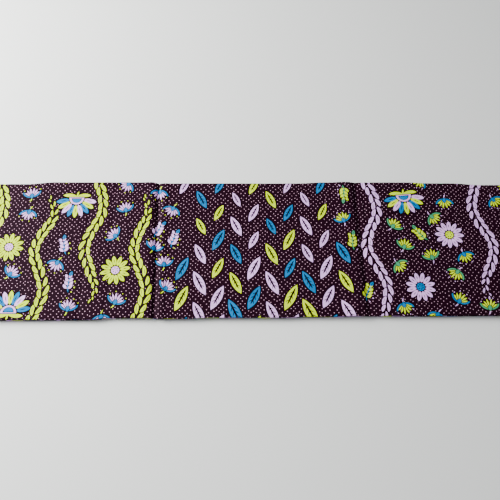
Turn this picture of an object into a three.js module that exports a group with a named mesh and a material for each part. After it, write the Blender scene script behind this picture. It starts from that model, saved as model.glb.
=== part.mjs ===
// A six yard piece of wax-printed cotton, fan-folded along its length into a flat stack of plies and
// opened out from thirds, so that it lies as one long strip with two fold lines across it.
// Millimetres, +Z up. X runs from selvedge to selvedge. The top and bottom plies turn in at the front
// edge, at -Y, and end in the two cut edges at the back, at +Y. The origin is under the middle.
import * as THREE from "three";

// The cloth, and how it is folded.
const CLOTH_WIDTH = 1200; // selvedge to selvedge
const PIECE_LENGTH = 5486; // six yards
const PLIES = 18;
const FOLD_DEPTH = PIECE_LENGTH / PLIES;
const PLY_LOFT = 0.6; // one ply with the air that it traps
const STACK_HEIGHT = PLIES * PLY_LOFT;

// The walls that stand for single plies.
const WALL = 1;
const GAP = 0.3; // between two pieces that lie on each other
const TURN_RADIUS = 1.2; // outside of the turn where a ply folds back
const TURN_STEPS = 6;

// The mesh: stations along X, and rows from front to back as shares of the depth.
const STATION_STEP = 30;
const CLOSEST_STATIONS = 5;
const ROWS = [0, 0.03, 0.075, 0.17, 0.31, 0.45, 0.59, 0.73, 0.86, 0.955, 1];

const HALF_WIDTH = CLOTH_WIDTH / 2;
const HALF_DEPTH = FOLD_DEPTH / 2;

// How far the long edges stand out from the nominal depth, from the left selvedge to the right one.
const EDGES = [
  { x: -600, front: 4.6, back: -3.2 },
  { x: -520, front: 4.6, back: -3 },
  { x: -450, front: 4.4, back: 2.2 },
  { x: -345, front: 4.4, back: 2.4 },
  { x: -300, front: 0.8, back: 2.3 },
  { x: -235, front: 0.9, back: 2.2 },
  { x: -205, front: 2.6, back: -0.5 },
  { x: -145, front: 2.4, back: -0.5 },
  { x: -100, front: 0.6, back: -0.3 },
  { x: 45, front: 0.5, back: -0.6 },
  { x: 90, front: -1.3, back: -0.4 },
  { x: 150, front: -1.5, back: 2 },
  { x: 205, front: -3, back: 2.1 },
  { x: 340, front: -3.2, back: 1.9 },
  { x: 385, front: -3.3, back: -0.1 },
  { x: 435, front: -4.1, back: -0.3 },
  { x: 500, front: -4.4, back: -5.1 },
  { x: 600, front: -4.6, back: -5.4 },
];

// The two lines left by the thirds fold. They aren't quite square to the long edges: lean is how far
// a line's back end lies to the right of its front end, and the plies are skewed with it.
const FOLD_LINES = [
  { x: -216, lean: -9 },
  { x: 219, lean: -10 },
];
const SKEW_REACH = 90;

// Ridges and troughs of the top that run from front to back, with their heights at both ends. The
// left fold line is a sharp trough between two shoulders, the right one a rounded ridge with a hollow
// at its foot, and the others are slight.
const CREASES = [
  { x: -234, reach: 12, front: 1.4, back: 1.9 },
  { x: -216, reach: 6, front: -2.4, back: -2.9 },
  { x: -202, reach: 10, front: 1.7, back: 1.2 },
  { x: 199, reach: 20, front: 2.2, back: 2.9 },
  { x: 236, reach: 13, front: -1.3, back: -0.9 },
  { x: -464, reach: 18, front: 0.3, back: 0.6 },
  { x: -367, reach: 14, front: -0.7, back: -0.3 },
  { x: -310, reach: 16, front: -0.3, back: -0.6 },
  { x: 395, reach: 20, front: -0.5, back: -0.2 },
];
const MAIN_CREASES = 5;

// Broad soft swells and hollows of the top, each an oval about a point.
const SWELLS = [
  { x: -520, y: 40, rise: 1.1, long: 60, deep: 90 },
  { x: -420, y: -60, rise: -0.7, long: 50, deep: 70 },
  { x: -275, y: 50, rise: 0.7, long: 40, deep: 80 },
  { x: -110, y: -70, rise: 0.7, long: 70, deep: 55 },
  { x: 10, y: 60, rise: -0.8, long: 80, deep: 60 },
  { x: 120, y: -30, rise: 0.8, long: 55, deep: 90 },
  { x: 300, y: 40, rise: 0.8, long: 50, deep: 80 },
  { x: 350, y: -80, rise: -0.6, long: 70, deep: 50 },
  { x: 490, y: -20, rise: 1, long: 60, deep: 90 },
];

// The hidden folds, two plies each, from the top of the stack down: how far each keeps back from the
// top ply's edges, and how far its right end is swung towards the back.
const HIDDEN_FOLDS = [
  { front: 3.4, back: 1.6, left: 2.2, right: 3.4, swing: 0.8 },
  { front: 1, back: 2.6, left: 3.6, right: 1.8, swing: -0.9 },
  { front: 0.6, back: 1.2, left: 1.4, right: 2.6, swing: 1.1 },
  { front: 1.6, back: 2.8, left: 4.2, right: 4, swing: 0.3 },
  { front: 0.9, back: 1, left: 2.4, right: 1.6, swing: -1.2 },
  { front: 0.6, back: 2.2, left: 3.2, right: 3.6, swing: 2.6 },
  { front: 0.8, back: 1.4, left: 1.8, right: 2.2, swing: -0.5 },
  { front: 3.4, back: 2.4, left: 3, right: 3, swing: 0.7 },
];
const BOTTOM_KEEPS_BACK = 0.8; // how far the bottom ply's edges lie inside the top ply's
const NOTCH = 0.9; // depth of the notch between two hidden folds
const NOSE = 0.3; // half the height of a fold's blunt nose, as a share of the fold's height
const TURN_ROOM = 2 * TURN_RADIUS - WALL; // height that the turn of an outer ply takes up inside
const TURN_ROOM_REACH = 30; // how far behind the front edge the folds lie closer for it

// Where the plies stand apart a little: at the selvedges, and behind the folds of the long edges.
const END_LOFT = 1.8;
const END_LOFT_REACH = 110;
const EDGE_LOFT = 0.7;
const EDGE_LOFT_REACH = 16;

// A column of a table, smoothed between its rows.
function along(table, column, x) {
  const next = table.findIndex((row) => row.x >= x);
  if (next <= 0) return (next ? table.at(-1) : table[0])[column];
  const before = table[next - 1];
  const after = table[next];
  const share = THREE.MathUtils.smoothstep(x, before.x, after.x);
  return THREE.MathUtils.lerp(before[column], after[column], share);
}

const frontEdge = (x) => -HALF_DEPTH - along(EDGES, "front", x);
const backEdge = (x) => HALF_DEPTH + along(EDGES, "back", x);

const bell = (distance, reach) => Math.exp(-((distance / reach) ** 2));

function creaseHeight(crease, x, y) {
  const height = THREE.MathUtils.lerp(crease.front, crease.back, y / FOLD_DEPTH + 0.5);
  return height * bell(x - crease.x, crease.reach);
}

function swellHeight(swell, x, y) {
  return swell.rise * bell(x - swell.x, swell.long) * bell(y - swell.y, swell.deep);
}

// Height of the top ply's upper face, before the plies are skewed along the fold lines.
function topHeight(x, y) {
  const fromEdge = Math.min(y - frontEdge(x), backEdge(x) - y);
  let height = STACK_HEIGHT;
  height += END_LOFT * bell(HALF_WIDTH - Math.abs(x), END_LOFT_REACH);
  height += EDGE_LOFT * bell(fromEdge - EDGE_LOFT_REACH, EDGE_LOFT_REACH);
  for (const crease of CREASES) height += creaseHeight(crease, x, y);
  for (const swell of SWELLS) height += swellHeight(swell, x, y);
  return height;
}

// A point of the square stack, moved sideways so that the creases lean as the fold lines do.
function skewed([x, y, z]) {
  let shift = 0;
  for (const line of FOLD_LINES) shift += line.lean * bell(x - line.x, SKEW_REACH);
  return [x + (shift * y) / FOLD_DEPTH, y, z];
}

// Stations at even steps, and three on each main crease in place of the even ones near them.
function stationsAlong() {
  const onCreases = CREASES.slice(0, MAIN_CREASES).flatMap(({ x, reach }) => [x - reach, x, x + reach]);
  const stations = [-HALF_WIDTH];
  const steps = CLOTH_WIDTH / STATION_STEP;
  const even = Array.from({ length: steps }, (_, i) => (i + 1) * STATION_STEP - HALF_WIDTH);
  const wanted = [...onCreases, ...even].sort((a, b) => a - b);
  for (const x of wanted) if (x - stations.at(-1) > CLOSEST_STATIONS) stations.push(x);
  return stations;
}

const STATIONS = stationsAlong();

// A closed mesh from points and the triangles that join them.
function closedMesh(name, material, points, triangles) {
  const geometry = new THREE.BufferGeometry();
  geometry.setAttribute("position", new THREE.Float32BufferAttribute(points.flatMap(skewed), 3));
  geometry.setIndex(triangles.flat());
  geometry.computeVertexNormals();
  const mesh = new THREE.Mesh(geometry, material);
  mesh.name = name;
  return mesh;
}

const quad = (a, b, c, d) => [
  [a, b, c],
  [a, c, d],
];

// A cloth wall between two sheets of points, outer and inner, both [station][place on the section].
function clothWall(name, material, outer, inner) {
  const rows = outer.length;
  const columns = outer[0].length;
  const out = (i, j) => i * columns + j;
  const inside = (i, j) => rows * columns + out(i, j);
  const triangles = [];
  for (let i = 0; i + 1 < rows; i++) {
    for (let j = 0; j + 1 < columns; j++) {
      triangles.push(...quad(out(i, j), out(i, j + 1), out(i + 1, j + 1), out(i + 1, j)));
      triangles.push(...quad(inside(i, j), inside(i + 1, j), inside(i + 1, j + 1), inside(i, j + 1)));
    }
    triangles.push(...quad(out(i, 0), out(i + 1, 0), inside(i + 1, 0), inside(i, 0)));
    const end = columns - 1;
    triangles.push(...quad(inside(i, end), inside(i + 1, end), out(i + 1, end), out(i, end)));
  }
  const last = rows - 1;
  for (let j = 0; j + 1 < columns; j++) {
    triangles.push(...quad(inside(0, j), inside(0, j + 1), out(0, j + 1), out(0, j)));
    triangles.push(...quad(out(last, j), out(last, j + 1), inside(last, j + 1), inside(last, j)));
  }
  return closedMesh(name, material, [...outer.flat(), ...inner.flat()], triangles);
}

// Half a turn of a section about a centre: down and under for the top ply, up and over for the other.
function turnPoints([x, y, z], radius, downward) {
  const points = [];
  for (let step = 1; step <= TURN_STEPS; step++) {
    const angle = Math.PI / 2 - (Math.PI * step) / TURN_STEPS;
    points.push([x, y - radius * Math.cos(angle), z + (downward ? radius : -radius) * Math.sin(angle)]);
  }
  return points;
}

// Where the rows of one station lie, from front to back.
function rowsAt(x) {
  const front = frontEdge(x) + TURN_RADIUS;
  return ROWS.map((share) => THREE.MathUtils.lerp(front, backEdge(x), share));
}

// The top ply: from its cut edge at the back over the stack, and down round the turn at the front.
function topPly(material) {
  const outer = [];
  const inner = [];
  for (const x of STATIONS) {
    const top = rowsAt(x).toReversed().map((y) => [x, y, topHeight(x, y)]);
    const under = top.map(([px, py, pz]) => [px, py, pz - WALL]);
    const [, front, height] = top.at(-1);
    const centre = [x, front, height - TURN_RADIUS];
    outer.push([...top, ...turnPoints(centre, TURN_RADIUS, true)]);
    inner.push([...under, ...turnPoints(centre, TURN_RADIUS - WALL, true)]);
  }
  return clothWall("top_ply", material, outer, inner);
}

// The bottom ply lies flat from its cut edge at the back, and turns up at the front.
function bottomPly(material) {
  const under = [];
  const inside = [];
  const half = HALF_WIDTH - BOTTOM_KEEPS_BACK;
  for (const station of STATIONS) {
    const x = THREE.MathUtils.clamp(station, -half, half);
    const back = backEdge(x) - BOTTOM_KEEPS_BACK;
    const front = frontEdge(x) + BOTTOM_KEEPS_BACK + TURN_RADIUS;
    const centre = [x, front, TURN_RADIUS];
    const flat = (z) => [back, front].map((y) => [x, y, z]);
    under.push([...flat(0), ...turnPoints(centre, TURN_RADIUS, false)]);
    inside.push([...flat(WALL), ...turnPoints(centre, TURN_RADIUS - WALL, false)]);
  }
  return clothWall("bottom_ply", material, inside, under);
}

// The notch between two hidden folds, just behind the one that keeps back further.
function notchBetween(lower, upper) {
  const notch = { swing: (lower.swing + upper.swing) / 2 };
  for (const side of ["front", "back", "left", "right"]) {
    notch[side] = Math.max(lower[side], upper[side]) + NOTCH;
  }
  return notch;
}

// The levels of the hidden stack as rings, from the bottom up: two round each fold's nose, and one in
// the notch above it. share is the level's part of the stack's height.
function stackRings() {
  const folds = HIDDEN_FOLDS.toReversed();
  const height = 1 / folds.length;
  const rings = [];
  folds.forEach((fold, k) => {
    const middle = (k + 0.5) * height;
    for (const side of [-1, 1]) rings.push({ ...fold, share: middle + side * NOSE * height });
    const above = folds[k + 1];
    if (above) rings.push({ ...notchBetween(fold, above), share: (k + 1) * height });
  });
  const bottom = { ...rings[0], share: 0 };
  const top = { ...rings.at(-1), share: 1 };
  for (const face of [bottom, top]) for (const side of ["back", "left", "right"]) face[side] += NOTCH / 2;
  return [bottom, ...rings, top];
}

// A level's height inside the stack. Near the front the turns of the outer plies take up room, so the
// folds between them lie closer.
function levelHeight(share, fromFront, height) {
  const fold = 1 / HIDDEN_FOLDS.length;
  const even = share * height;
  const outermost = share < 0.99 * fold || share > 1 - 0.99 * fold;
  if (outermost) return even;
  const squeezed = TURN_ROOM + ((share - fold) / (1 - 2 * fold)) * (height - 2 * TURN_ROOM);
  return THREE.MathUtils.lerp(squeezed, even, THREE.MathUtils.clamp(fromFront / TURN_ROOM_REACH, 0, 1));
}

// One point of a ring, at station i and row j.
function ringPoint(ring, i, j) {
  let x = STATIONS[i];
  if (i === 0) x += ring.left;
  if (i === STATIONS.length - 1) x -= ring.right;
  const swung = (ring.swing * x) / HALF_WIDTH;
  const front = frontEdge(x) + ring.front + swung;
  const row = rowsAt(STATIONS[i])[j];
  let y = row;
  if (j === 0) y = front;
  if (j === ROWS.length - 1) y = backEdge(x) - ring.back + swung;
  const base = WALL + GAP;
  const height = topHeight(STATIONS[i], row) - WALL - GAP - base;
  return [x, y, base + levelHeight(ring.share, y - front, height)];
}

// A grid that closes a ring, with the ring's own points as its border.
function addCap(points, triangles, ring, border, firstOfRing, facesDown) {
  const lastX = STATIONS.length - 1;
  const lastY = ROWS.length - 1;
  const index = new Map(border.map(([i, j], k) => [`${i},${j}`, firstOfRing + k]));
  for (let i = 1; i < lastX; i++) {
    for (let j = 1; j < lastY; j++) {
      index.set(`${i},${j}`, points.length);
      points.push(ringPoint(ring, i, j));
    }
  }
  const at = (i, j) => index.get(`${i},${j}`);
  for (let i = 0; i < lastX; i++) {
    for (let j = 0; j < lastY; j++) {
      const corners = [at(i, j), at(i + 1, j), at(i + 1, j + 1), at(i, j + 1)];
      triangles.push(...quad(...(facesDown ? corners.reverse() : corners)));
    }
  }
}

// The hidden plies as one solid: rings round the stack, closed by a grid above and one below.
function foldedPlies(material) {
  const rings = stackRings();
  const lastX = STATIONS.length - 1;
  const lastY = ROWS.length - 1;
  const border = [];
  for (let i = 0; i < lastX; i++) border.push([i, 0]);
  for (let j = 0; j < lastY; j++) border.push([lastX, j]);
  for (let i = lastX; i > 0; i--) border.push([i, lastY]);
  for (let j = lastY; j > 0; j--) border.push([0, j]);

  const points = rings.flatMap((ring) => border.map(([i, j]) => ringPoint(ring, i, j)));
  const triangles = [];
  const around = border.length;
  for (let r = 0; r + 1 < rings.length; r++) {
    const low = r * around;
    const high = low + around;
    for (let k = 0; k < around; k++) {
      const next = (k + 1) % around;
      triangles.push(...quad(low + k, low + next, high + next, high + k));
    }
  }
  addCap(points, triangles, rings[0], border, 0, true);
  addCap(points, triangles, rings.at(-1), border, (rings.length - 1) * around, false);
  return closedMesh("folded_plies", material, points, triangles);
}

const printedCotton = new THREE.MeshStandardMaterial({ color: "#3c1a33", roughness: 0.72, metalness: 0 });
const foldedCotton = new THREE.MeshStandardMaterial({ color: "#4a2340", roughness: 0.8, metalness: 0 });

// The stack is moved so that the origin lies under the middle of its outline.
const cloth = new THREE.Group();
cloth.add(topPly(printedCotton), foldedPlies(foldedCotton), bottomPly(printedCotton));
const middle = new THREE.Box3().setFromObject(cloth).getCenter(new THREE.Vector3());
cloth.position.set(-middle.x, -middle.y, 0);

export default cloth;
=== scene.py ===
import math
import random
from collections import namedtuple

import bpy
import numpy as np
from bpy.props import FloatProperty, FloatVectorProperty, IntProperty, PointerProperty
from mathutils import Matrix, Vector, noise
from mathutils.geometry import delaunay_2d_cdt


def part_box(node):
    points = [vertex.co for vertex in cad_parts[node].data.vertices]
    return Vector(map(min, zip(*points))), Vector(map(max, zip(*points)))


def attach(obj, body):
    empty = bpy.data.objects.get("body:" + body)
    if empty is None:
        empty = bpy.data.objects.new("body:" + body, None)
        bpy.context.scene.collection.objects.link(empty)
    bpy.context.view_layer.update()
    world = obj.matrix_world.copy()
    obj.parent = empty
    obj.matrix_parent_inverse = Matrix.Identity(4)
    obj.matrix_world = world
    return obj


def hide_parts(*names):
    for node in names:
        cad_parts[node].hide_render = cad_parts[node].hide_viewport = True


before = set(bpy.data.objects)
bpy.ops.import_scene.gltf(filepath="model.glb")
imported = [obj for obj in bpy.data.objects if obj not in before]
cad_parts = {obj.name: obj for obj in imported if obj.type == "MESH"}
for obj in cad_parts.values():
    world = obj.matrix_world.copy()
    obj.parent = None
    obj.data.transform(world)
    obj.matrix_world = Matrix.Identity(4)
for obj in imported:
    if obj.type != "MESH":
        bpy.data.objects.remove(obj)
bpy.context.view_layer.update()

bl_info = {
    "name": "Folded wax print cotton",
    "version": (1, 0, 0),
    "blender": (4, 5, 0),
    "location": "View3D > Sidebar > Cloth",
    "description": "A six yard piece of wax-printed cotton, fan-folded and laid out as one long strip",
    "category": "Add Mesh",
}

# Lengths are in millimetres unless a name or a line says metres.
MM = 0.001


# -------------------- sizes and colours

def to_linear(code):
    """A colour written as an sRGB hex value, as the linear numbers that shaders use."""
    channels = [int(code[i:i + 2], 16) / 255 for i in (1, 3, 5)]
    return tuple(c / 12.92 if c <= 0.04045 else ((c + 0.055) / 1.055) ** 2.4 for c in channels)


def colour(name, description, code):
    return FloatVectorProperty(
        name=name, description=description, subtype="COLOR", size=3, min=0, max=1, default=to_linear(code)
    )


def length(name, description, millimetres):
    return FloatProperty(name=name, description=description, unit="LENGTH", min=0, default=millimetres * MM)


class WaxPrintSizes(bpy.types.PropertyGroup):
    thread: length("Thread spacing", "Distance between two threads, drawn coarse enough to show", 0.7)
    cloth: length("Cloth thickness", "Thickness of one ply", 0.42)
    dot_pitch: length("Dot pitch", "Distance between two pin dots of the ground", 7.6)
    dot_width: length("Dot width", "Diameter of a pin dot", 1.55)
    halo: length("Resist line", "Width of the dark line that the wax leaves round each motif", 2.7)
    grid: length("Mesh spacing", "Distance between the mesh points that follow the relief", 9)
    seed: IntProperty(name="Seed", description="Picks how the tossed motifs fall", default=11, min=0)


class WaxPrintInks(bpy.types.PropertyGroup):
    ground: colour("Ground", "Indigo overdyed with madder: aubergine", "#1c0614")
    line: colour("Resist line", "Where both dyes lie at full strength", "#0e0309")
    lime: colour("Lime", "Bright yellow green", "#cde908")
    lavender: colour("Lavender", "Undyed cotton with a tint of madder", "#e6b4f4")
    blue: colour("Blue", "Bright turquoise blue", "#0c70aa")
    green: colour("Green", "Lime over pale blue", "#429a6c")
    dots: colour("Pin dots", "Small resist dots that let the tinted cotton through", "#e4b4cc")
    selvedge: colour("Selvedge", "Plain band along the woven edge", "#35132d")


class StageLook(bpy.types.PropertyGroup):
    floor: colour("Floor", "Plain pale surface under the cloth", "#e6e8e4")
    sky: colour("Fill light", "Soft light from all round", "#f4f6ff")
    window: colour("Window light", "Large soft light from the left", "#ffffff")


# Places in the list of inks. A face holds its ink's place, and the material looks it up.
INKS = ("ground", "line", "lime", "lavender", "blue", "green", "selvedge")
GROUND, LINE, LIME, LAVENDER, BLUE, GREEN, SELVEDGE = range(len(INKS))


# -------------------- how the cloth lies
# The same sizes as the solids: selvedge to selvedge along X, folds at the front and back edges.

CLOTH_WIDTH = 1200
PIECE_LENGTH = 5486
PLIES = 18
FOLD_DEPTH = PIECE_LENGTH / PLIES
PLY_LOFT = 0.6
STACK_HEIGHT = PLIES * PLY_LOFT
BOTTOM_KEEPS_BACK = 0.8
HALF_WIDTH = CLOTH_WIDTH / 2

# How far the front and back edges stand out past the square stack, along the strip.
EDGES = (
    {"x": -600, "front": 4.6, "back": -3.2},
    {"x": -520, "front": 4.6, "back": -3},
    {"x": -450, "front": 4.4, "back": 2.2},
    {"x": -345, "front": 4.4, "back": 2.4},
    {"x": -300, "front": 0.8, "back": 2.3},
    {"x": -235, "front": 0.9, "back": 2.2},
    {"x": -205, "front": 2.6, "back": -0.5},
    {"x": -145, "front": 2.4, "back": -0.5},
    {"x": -100, "front": 0.6, "back": -0.3},
    {"x": 45, "front": 0.5, "back": -0.6},
    {"x": 90, "front": -1.3, "back": -0.4},
    {"x": 150, "front": -1.5, "back": 2},
    {"x": 205, "front": -3, "back": 2.1},
    {"x": 340, "front": -3.2, "back": 1.9},
    {"x": 385, "front": -3.3, "back": -0.1},
    {"x": 435, "front": -4.1, "back": -0.3},
    {"x": 500, "front": -4.4, "back": -5.1},
    {"x": 600, "front": -4.6, "back": -5.4},
)

# Fold lines lean: how far the back end of each stands to the right of its front end.
FOLD_LINES = (
    {"x": -216, "lean": -9},
    {"x": 219, "lean": -10},
)
SKEW_REACH = 90  # how far along the strip the cloth follows that lean

# Rises and hollows across the strip, with their heights at the front and back edges.
CREASES = (
    {"x": -234, "reach": 12, "front": 1.4, "back": 1.9},
    {"x": -216, "reach": 6, "front": -2.4, "back": -2.9},
    {"x": -202, "reach": 10, "front": 1.7, "back": 1.2},
    {"x": 199, "reach": 20, "front": 2.2, "back": 2.9},
    {"x": 236, "reach": 13, "front": -1.3, "back": -0.9},
    {"x": -464, "reach": 18, "front": 0.3, "back": 0.6},
    {"x": -367, "reach": 14, "front": -0.7, "back": -0.3},
    {"x": -310, "reach": 16, "front": -0.3, "back": -0.6},
    {"x": 395, "reach": 20, "front": -0.5, "back": -0.2},
)

# Places where the cloth between the creases doesn't lie quite flat.
SWELLS = (
    {"x": -520, "y": 40, "rise": 1.1, "long": 60, "deep": 90},
    {"x": -420, "y": -60, "rise": -0.7, "long": 50, "deep": 70},
    {"x": -275, "y": 50, "rise": 0.7, "long": 40, "deep": 80},
    {"x": -110, "y": -70, "rise": 0.7, "long": 70, "deep": 55},
    {"x": 10, "y": 60, "rise": -0.8, "long": 80, "deep": 60},
    {"x": 120, "y": -30, "rise": 0.8, "long": 55, "deep": 90},
    {"x": 300, "y": 40, "rise": 0.8, "long": 50, "deep": 80},
    {"x": 350, "y": -80, "rise": -0.6, "long": 70, "deep": 50},
    {"x": 490, "y": -20, "rise": 1, "long": 60, "deep": 90},
)

END_LOFT = 1.8  # how much higher the plies lie at the selvedges
END_LOFT_REACH = 110
EDGE_LOFT = 0.7  # and just inside the folds
EDGE_LOFT_REACH = 16

# Narrow grooves where the cloth was pressed: the sharp fold line on the left, the soft one on the
# right, and fainter creases.
GROOVES = (
    {"x": -216, "reach": 2.4, "depth": 1.5},
    {"x": 224, "reach": 6, "depth": 2.3},
    {"x": 240, "reach": 3, "depth": 0.5},
    {"x": -193, "reach": 3, "depth": 0.4},
    {"x": -314, "reach": 4, "depth": 0.5},
    {"x": -367, "reach": 4, "depth": 0.6},
    {"x": -464, "reach": 4, "depth": 0.4},
)

# Finer unevenness than the solids hold: how high, and how far apart.
RIPPLE = 0.22
RIPPLE_LONG = 46
RIPPLE_DEEP = 70

FOLD_RADIUS = 0.62  # outside of the turn from one ply to the next
TUCKED = 6  # how much of the next ply belongs to an outer ply's piece
FLAT_LENGTH = FOLD_DEPTH + math.pi * FOLD_RADIUS + TUCKED
SELVEDGE_WIDTH = 11


def column(table, name):
    return np.array([row[name] for row in table], float)


def along(table, name, x):
    """A column of a table, smoothed between its rows."""
    xs, values = column(table, "x"), column(table, name)
    after = np.clip(np.searchsorted(xs, x), 1, len(xs) - 1)
    share = np.clip((x - xs[after - 1]) / (xs[after] - xs[after - 1]), 0, 1)
    share = share * share * (3 - 2 * share)
    return values[after - 1] + share * (values[after] - values[after - 1])


def front_edge(x):
    return -FOLD_DEPTH / 2 - along(EDGES, "front", x)


def back_edge(x):
    return FOLD_DEPTH / 2 + along(EDGES, "back", x)


def bell(distance, reach):
    return np.exp(-((distance / reach) ** 2))


def top_height(x, y):
    """Height of the top ply's upper face, before the plies are skewed along the fold lines."""
    from_edge = np.minimum(y - front_edge(x), back_edge(x) - y)
    height = STACK_HEIGHT + END_LOFT * bell(HALF_WIDTH - np.abs(x), END_LOFT_REACH)
    height += EDGE_LOFT * bell(from_edge - EDGE_LOFT_REACH, EDGE_LOFT_REACH)
    share = y / FOLD_DEPTH + 0.5
    for c in CREASES:
        height += (c["front"] + (c["back"] - c["front"]) * share) * bell(x - c["x"], c["reach"])
    for g in GROOVES:
        height -= g["depth"] * bell(x - g["x"], g["reach"])
    for s in SWELLS:
        height += s["rise"] * bell(x - s["x"], s["long"]) * bell(y - s["y"], s["deep"])
    return height


def ripple(x, y):
    """Slight waves of a cloth that has been folded and smoothed out by hand."""
    points = zip(np.ravel(x) / RIPPLE_LONG, np.ravel(y) / RIPPLE_DEEP)
    waves = [noise.noise((a, b, 0)) + 0.5 * noise.noise((2.3 * a, 2.1 * b, 5)) for a, b in points]
    return RIPPLE * np.array(waves).reshape(np.shape(x))


# The solids stand with the middle of their outline over the origin, so the depth is shifted with them.
DEPTH_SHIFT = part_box("top_ply")[0].y / MM - front_edge(column(EDGES, "x")).min()


def in_frame(x, y, z):
    """Points of the square stack, skewed along the fold lines and moved to the frame, in metres."""
    shift = sum(line["lean"] * bell(x - line["x"], SKEW_REACH) for line in FOLD_LINES)
    return np.stack([x + shift * y / FOLD_DEPTH, y + DEPTH_SHIFT, z], -1) * MM


def lie_of_ply(u, v, depth, margin):
    """Where a point of an outer ply lies in its section, for v from the back cut edge to the front edge
    and round the turn: its row in the depth, its place there, and its height off the turn's axis."""
    radius = FOLD_RADIUS
    back = back_edge(u) - margin
    front = front_edge(u) + margin + radius
    angle = np.clip((v - FOLD_DEPTH) / radius, 0, math.pi)
    tucked = np.maximum(v - FOLD_DEPTH - math.pi * radius, 0)
    row = back + (front - back) * np.minimum(v / FOLD_DEPTH, 1) + tucked
    return row, row - (radius - depth) * np.sin(angle), (radius - depth) * np.cos(angle)


def place_top(u, v, depth):
    row, y, rise = lie_of_ply(u, v, depth, 0)
    return in_frame(u, y, top_height(u, row) + ripple(u, row) - FOLD_RADIUS + rise)


def place_bottom(u, v, depth):
    _, y, rise = lie_of_ply(u, v, depth, BOTTOM_KEEPS_BACK)
    return in_frame(u * (1 - BOTTOM_KEEPS_BACK / HALF_WIDTH), y, FOLD_RADIUS - rise)


# -------------------- the print's motifs
# A motif is a list of patches in its own millimetres. Patches are printed in the order of their
# layers: first every resist line, then the inks, then what is drawn on them.

Patch = namedtuple("Patch", "layer ink outline")
Footprint = namedtuple("Footprint", "u v radius")
LINE_LAYER, INK_LAYER, OVER_LAYER, DETAIL_LAYER = range(4)


def blade(long, wide, bend=0, grow=0, steps=7, pointed=1.0):
    """Outline of a leaf or petal from the origin along +u, bent sideways by bend degrees in all, and
    grown by a margin all round. pointed is 1 for a pointed tip and less for a rounder one."""
    t = np.linspace(0, 1, steps + 1)
    heading = np.radians(bend) * t
    step = (long + 2 * grow) / steps
    mid = (heading[1:] + heading[:-1]) / 2
    centre = np.concatenate([[[0, 0]], np.cumsum(step * np.stack([np.cos(mid), np.sin(mid)], 1), 0)])
    half = (wide / 2 + grow) * (4 * t * (1 - t)) ** pointed
    side = np.stack([-np.sin(heading), np.cos(heading)], 1) * half[:, None]
    return np.concatenate([centre - side, (centre + side)[-2:0:-1]]) - (grow, 0)


def disc(radius, sides=8):
    turn = np.arange(sides) * 2 * math.pi / sides
    return radius * np.stack([np.cos(turn), np.sin(turn)], 1)


def moved(outline, angle, at, size=1):
    a = math.radians(angle)
    turn = np.array([[math.cos(a), math.sin(a)], [-math.sin(a), math.cos(a)]])
    return size * np.asarray(outline) @ turn + at


def inked(ink, halo, long, wide, angle=0, at=(0, 0), bend=0, layer=INK_LAYER, cuts=False, **shape):
    """A blade of one ink with its resist line, which cuts into what was printed before if it cuts."""
    line = moved(blade(long, wide, bend, halo, **shape), angle, at)
    body = moved(blade(long, wide, bend, 0, **shape), angle, at)
    return [Patch(layer if cuts else LINE_LAYER, LINE, line), Patch(layer, ink, body)]


def drawn(long, wide, angle=0, at=(0, 0), bend=0):
    """A thin dark stroke on top of an ink."""
    return [Patch(DETAIL_LAYER, LINE, moved(blade(long, wide, bend, steps=3), angle, at))]


def seed(ink, halo, radius, at):
    line = Patch(LINE_LAYER, LINE, moved(disc(radius + halo), 0, at))
    return [line, Patch(INK_LAYER, ink, moved(disc(radius), 0, at))]


def toward(angle, reach, at=(0, 0)):
    a = math.radians(angle)
    return (at[0] + reach * math.cos(a), at[1] + reach * math.sin(a))


def leaf(ink, halo, long):
    """An ordinary leaf with its midrib and side veins."""
    patches = inked(ink, halo, long=long, wide=0.33 * long, at=(-long / 2, 0), steps=10, pointed=0.95)
    midrib = moved(blade(0.66 * long, 0.066 * long, pointed=0.3), 0, (-0.38 * long, 0))
    patches += [Patch(DETAIL_LAYER, LINE, midrib)]
    for step in (-1, 0, 1):
        for side in (-1, 1):
            start = (step * 0.16 * long - 0.07 * long, side * 0.01 * long)
            patches += drawn(long=0.17 * long, wide=0.026 * long, angle=36 * side, at=start)
    return patches


def fan_flower(petal, cup, accent, halo):
    """A pink seen from the side: fringed petals over a cup of sepals, with a stem and stray anthers."""
    heart = (-5, 0)
    patches = inked(accent, 1.5, long=15, wide=2.6, angle=172, at=(-6, 0), bend=50, steps=4, pointed=0.4)
    for side in (-1, 1):
        patches += inked(
            cup, halo, long=27, wide=7.6, angle=74 * side, at=(-7, 0), bend=-34 * side, pointed=0.7
        )
    for k, turn in enumerate((-58, 58, -36, 36, -13, 13)):
        patches += inked(
            petal, 1.6, long=18 + (k // 2) * 1.8, wide=4.2, angle=turn, at=toward(turn, 2.5, heart),
            cuts=True, steps=5, pointed=0.6,
        )
    for ink, grow in ((LINE, 1), (cup, -0.4)):
        patches += [Patch(OVER_LAYER, ink, moved(blade(long=15, wide=10, grow=grow), 0, (-11, 0)))]
    for turn in (-48, -16, 20, 50):
        patches += seed(accent, 0.9, radius=1.3, at=toward(turn, 25 + turn % 3, heart))
    return patches


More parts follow.
